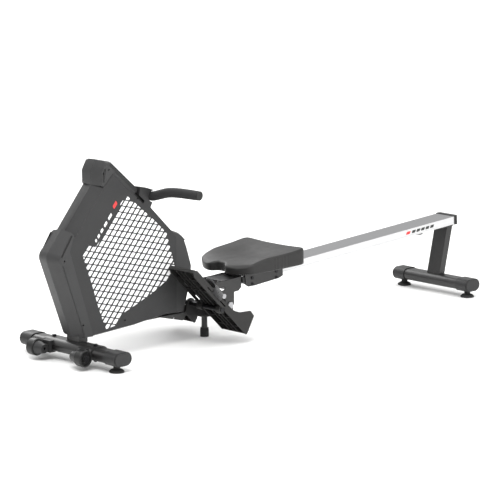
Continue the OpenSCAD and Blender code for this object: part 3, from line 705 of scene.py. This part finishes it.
# Field of the printed lattice on the housing's side, as X and Z
FIELD = [(185, 540), (160, 517), (150, 492), (72, 404), (48, 384), (22, 392), (-5, 362), (10, 320), (30, 270),
         (60, 180), (80, 130), (92, 104), (130, 110), (160, 145), (220, 167), (300, 200), (370, 237), (397, 272),
         (360, 393), (305, 443), (247, 490)]
STEEP = math.radians(50)
SHALLOW = math.radians(-14)
STEEP_PITCH = 19.5
SHALLOW_PITCH = 20.5
STEEP_LINE = 6.4
SHALLOW_LINE = 3.8
PRINT_T = 0.22


def clipped(subject, clip):
    """The part of polygon subject that lies inside the convex counterclockwise polygon clip."""
    result = subject
    for i, a in enumerate(clip):
        b = clip[(i + 1) % len(clip)]
        source, result = result, []
        inside = lambda p: (b[0] - a[0]) * (p[1] - a[1]) - (b[1] - a[1]) * (p[0] - a[0]) >= 0
        for k, p in enumerate(source):
            q = source[(k + 1) % len(source)]
            if inside(p):
                result.append(p)
            if inside(p) != inside(q):
                dx, dz = q[0] - p[0], q[1] - p[1]
                ex, ez = b[0] - a[0], b[1] - a[1]
                t = ((a[0] - p[0]) * ez - (a[1] - p[1]) * ex) / (dx * ez - dz * ex)
                result.append((p[0] + t * dx, p[1] + t * dz))
        if not result:
            return []
    return result


def polygon_area(points):
    return sum(p[0] * q[1] - q[0] * p[1] for p, q in zip(points, points[1:] + points[:1])) / 2


def tidy_outline(points):
    """Drops points that lie on the one before."""
    kept = []
    for p in points:
        if not kept or math.dist(p, kept[-1]) > 0.3:
            kept.append(p)
    if len(kept) > 1 and math.dist(kept[0], kept[-1]) <= 0.3:
        kept.pop()
    return kept


def cut_corners(points, size):
    """Rounds a small outline by cutting each corner."""
    cut = []
    for i, p in enumerate(points):
        before, after = points[i - 1], points[(i + 1) % len(points)]
        for q in (before, after):
            reach = math.dist(p, q)
            share = min(size, reach * 0.3) / reach
            cut.append((p[0] + (q[0] - p[0]) * share, p[1] + (q[1] - p[1]) * share))
    return cut


def lattice_cells():
    """White cells between the lattice's two families of lines, clipped to the field."""
    a = (math.cos(STEEP), math.sin(STEEP))
    b = (math.cos(SHALLOW), math.sin(SHALLOW))
    spread = math.sin(STEEP - SHALLOW)
    step_b = STEEP_PITCH / spread
    step_a = SHALLOW_PITCH / spread
    inner_b = (STEEP_PITCH - STEEP_LINE) / spread / 2
    inner_a = (SHALLOW_PITCH - SHALLOW_LINE) / spread / 2
    centre = (195, 320)
    cells = []
    for i in range(-16, 17):
        for j in range(-16, 17):
            x = centre[0] + a[0] * step_a * i + b[0] * step_b * j
            z = centre[1] + a[1] * step_a * i + b[1] * step_b * j
            corners = [(x + a[0] * inner_a * s + b[0] * inner_b * t, z + a[1] * inner_a * s + b[1] * inner_b * t)
                       for s, t in ((-1, -1), (-1, 1), (1, 1), (1, -1))]
            if polygon_area(corners) < 0:
                corners.reverse()
            cell = tidy_outline(clipped(FIELD, corners))
            if len(cell) > 2 and abs(polygon_area(cell)) > 22:
                cells.append(cut_corners(cell, 1.6))
    return cells


def build_side_graphic(side, name):
    mesh = bmesh.new()
    y = side * (SIDE_Y + 0.01)
    for cell in lattice_cells():
        prism(mesh, [at(x, y, z) for x, z in cell], Vector((0, side * PRINT_T * MM, 0)))
    graphic = make(name, mesh, "white", "base")
    for polygon in graphic.data.polygons:
        polygon.use_smooth = False
    return graphic


def slanted_bar(mesh, start, length, width, side, lean=0.0):
    """A bar along the steep direction from its start, as X and Z."""
    a = (math.cos(STEEP), math.sin(STEEP))
    n = (-a[1], a[0])
    corners = [(0, 0), (length, 0), (length + lean, width), (lean, width)]
    outline = [(start[0] + a[0] * u + n[0] * v, start[1] + a[1] * u + n[1] * v) for u, v in corners]
    outline = cut_corners(outline, 1.5)
    y = side * (SIDE_Y + 0.01)
    prism(mesh, [at(x, y, z) for x, z in outline], Vector((0, side * PRINT_T * MM, 0)))


def build_marks(side, tag):
    """Plain speed bars in the dark band beside the lattice: one red and a row of white ones."""
    white = bmesh.new()
    for k, length in enumerate((10, 14, 18, 22, 26)):
        along = (0, 16, 36, 60, 88)[k]
        start = (52 + along * math.cos(STEEP), 398 + along * math.sin(STEEP))
        slanted_bar(white, start, length * 0.8, 9, side, 3)
    red = bmesh.new()
    slanted_bar(red, (131, 500), 22, 12, side, 4)
    for mesh, look, word in ((white, "white", "bars"), (red, "red", "accent")):
        mark = make(f"print_{word}_{tag}", mesh, look, "base")
        for polygon in mark.data.polygons:
            polygon.use_smooth = False


for side, tag in ((-1, "left"), (1, "right")):
    build_side_graphic(side, f"side_lattice_{tag}")
    build_marks(side, tag)


def build_rail_marks(side, tag):
    """A red bar and a row of dark bars on the rail's side, near its rear end."""
    for look, word, bars in (("red", "accent", [(1530, 20)]),
                             ("ink", "bars", [(1560 + 24 * k, 18) for k in range(5)])):
        mesh = bmesh.new()
        for start, length in bars:
            y = side * (RAIL_HALF + 0.01)
            outline = [(start, -19), (start + length, -19), (start + length + 5, -9), (start + 5, -9)]
            outline = cut_corners(outline, 1.2)
            prism(mesh, [on_rail(s, y, h) for s, h in outline], Vector((0, side * PRINT_T * MM, 0)))
        mark = make(f"rail_{word}_{tag}", mesh, look, "rail_frame")
        for polygon in mark.data.polygons:
            polygon.use_smooth = False


for side, tag in ((-1, "left"), (1, "right")):
    build_rail_marks(side, tag)


def paint_recess_shade(side, name, path, radius, half, depth):
    """Painted shade in the bottom of a finger recess: a thin dark bar along an X-Z path."""
    mesh = bmesh.new()
    y = side * (half - depth + 0.05)
    for (x0, z0), (x1, z1) in zip(path, path[1:]):
        a = math.atan2(z1 - z0, x1 - x0)
        ends = ((x1, z1, a - math.pi / 2), (x0, z0, a + math.pi / 2))
        outline = [at(x + radius * math.cos(b + math.pi * k / 8), y, z + radius * math.sin(b + math.pi * k / 8))
                   for x, z, b in ends for k in range(9)]
        prism(mesh, outline, Vector((0, side * 0.3 * MM, 0)))
    # Dark plastic laid in the recess as painted shade.
    shade_bar = make(name, mesh, "dark", "base")
    for polygon in shade_bar.data.polygons:
        polygon.use_smooth = False


# Painted shade in the finger recesses on each side.
for side, tag in ((-1, "left"), (1, "right")):
    paint_recess_shade(side, f"grip_recess_painted_shade_{tag}", [(-96, 369), (-53, 432)], 3.1, SIDE_Y + 2, 2.2)
    paint_recess_shade(side, f"cap_recess_painted_shade_{tag}", [(88, 596), (88, 622), (94, 634)], 3.3, SIDE_Y - 1, 2.0)


# ---------------------------------------------------------------- console

def build_console_skirt():
    """Filler strips that close the gap between the console's edges and the housing's chamfered top."""
    mesh = bmesh.new()
    for side in SIDES:
        rings = []
        for x in (4, 6, 152, 154):
            tuck = 1.2 if x in (4, 154) else 0
            section = [(40.4, 0.15), (46.4 - tuck, 0.15), (49.4 - tuck, -13.4 + tuck), (48.0, -13.4 + tuck)]
            rings.append([on_slope(x, side * y, h) for y, h in section])
        skin_rings(mesh, rings)
    # The skirt takes the housing plastic's lighter copy: painted light on the upward chamfer strip.
    skirt = make("console_skirt", mesh, "housing_trim_lit_copy", "base")
    for polygon in skirt.data.polygons:
        polygon.use_smooth = False


build_console_skirt()


SEGMENTS = {"0": "abcdef", "2": "abged", "5": "afgcd", "8": "abcdefg"}
SEGMENT_LINES = {"a": ((0, 2), (1, 2)), "b": ((1, 2), (1, 1)), "c": ((1, 1), (1, 0)), "d": ((0, 0), (1, 0)),
                 "e": ((0, 1), (0, 0)), "f": ((0, 2), (0, 1)), "g": ((0, 1), (1, 1))}


def build_screen_digits():
    """Seven-segment digits on the screen, read from the seat."""
    mesh = bmesh.new()
    for k, digit in enumerate("2580"):
        for letter in SEGMENTS[digit]:
            (u0, v0), (u1, v1) = SEGMENT_LINES[letter]
            y0 = -25 + 13.5 * k + 8 * u0
            y1 = -25 + 13.5 * k + 8 * u1
            x0 = 74 - 9 * v0
            x1 = 74 - 9 * v1
            rounded_box(mesh, ((x0 + x1) / 2, (y0 + y1) / 2, 15.55), (max(1.6, abs(x1 - x0) - 1.4),
                        max(1.6, abs(y1 - y0) - 1.4), 0.3), 0.14, lambda a, b, c: on_slope(a, b, c))
    for k in range(4):
        rounded_box(mesh, (40, -22 + 15 * k, 15.55), (3.2, 9, 0.3), 0.14, lambda a, b, c: on_slope(a, b, c))
    return make("screen_digits", mesh, "ink", "base")


build_screen_digits()


# ---------------------------------------------------------------- floor, light and camera

def build_floor():
    mesh = bmesh.new()
    size = 40
    for p in ((-size, -size), (size, -size), (size, size), (-size, size)):
        mesh.verts.new((p[0], p[1], -0.0005))
    mesh.faces.new(mesh.verts[:])
    data = bpy.data.meshes.new("floor")
    mesh.to_mesh(data)
    mesh.free()
    floor = bpy.data.objects.new("floor", data)
    bpy.context.scene.collection.objects.link(floor)
    paper = Surface("floor_paper", (0.9, 0.9, 0.895), 0.9, specular=0.1)
    paper.mottled(paper.noise(0.6, 2), 0.004)
    data.materials.append(paper.material)


build_floor()


def area_light(name, place, aim, size, power):
    lamp = bpy.data.lights.new(name, "AREA")
    lamp.shape = "DISK"
    lamp.size = size
    lamp.energy = power
    obj = bpy.data.objects.new(name, lamp)
    obj.location = place
    obj.rotation_euler = (Vector(aim) - Vector(place)).to_track_quat("-Z", "Y").to_euler()
    bpy.context.scene.collection.objects.link(obj)


area_light("key", (-2.4, -1.6, 3.4), (-0.4, 0, 0.3), 2.4, 95)
area_light("side", (0.6, -4.2, 1.6), (0, 0, 0.3), 2.2, 60)
area_light("back", (0.8, 3.6, 2.6), (0, 0, 0.3), 2.6, 60)

world = bpy.data.worlds.new("studio")
world.use_nodes = True

def studio_sky(tree):
    """A soft sky, bright overhead and dim towards the horizon."""
    place = tree.nodes.new("ShaderNodeTexCoord")
    parts = tree.nodes.new("ShaderNodeSeparateXYZ")
    ramp = tree.nodes.new("ShaderNodeValToRGB")
    ramp.color_ramp.elements[0].position = 0.05
    ramp.color_ramp.elements[0].color = (0.22, 0.22, 0.22, 1)
    ramp.color_ramp.elements[1].position = 0.75
    ramp.color_ramp.elements[1].color = (1, 1, 1, 1)
    tree.links.new(place.outputs["Generated"], parts.inputs["Vector"])
    tree.links.new(parts.outputs["Z"], ramp.inputs["Fac"])
    tree.links.new(ramp.outputs["Color"], tree.nodes["Background"].inputs["Color"])
    tree.nodes["Background"].inputs["Strength"].default_value = 1.55


studio_sky(world.node_tree)
bpy.context.scene.world = world
bpy.context.scene.view_settings.view_transform = "Standard"

CAMERA_PLACE = Vector((-6056.4, -7246.7, 2128.0))
CAMERA_AIM = Vector((792.54, 0, 272.51))
lens = bpy.data.cameras.new("camera")
lens.lens = 211.3
lens.sensor_width = 36
lens.clip_end = 100
camera = bpy.data.objects.new("camera", lens)
camera.location = at(*CAMERA_PLACE)
camera.rotation_euler = (CAMERA_AIM - CAMERA_PLACE).to_track_quat("-Z", "Y").to_euler()
bpy.context.scene.collection.objects.link(camera)
bpy.context.scene.camera = camera
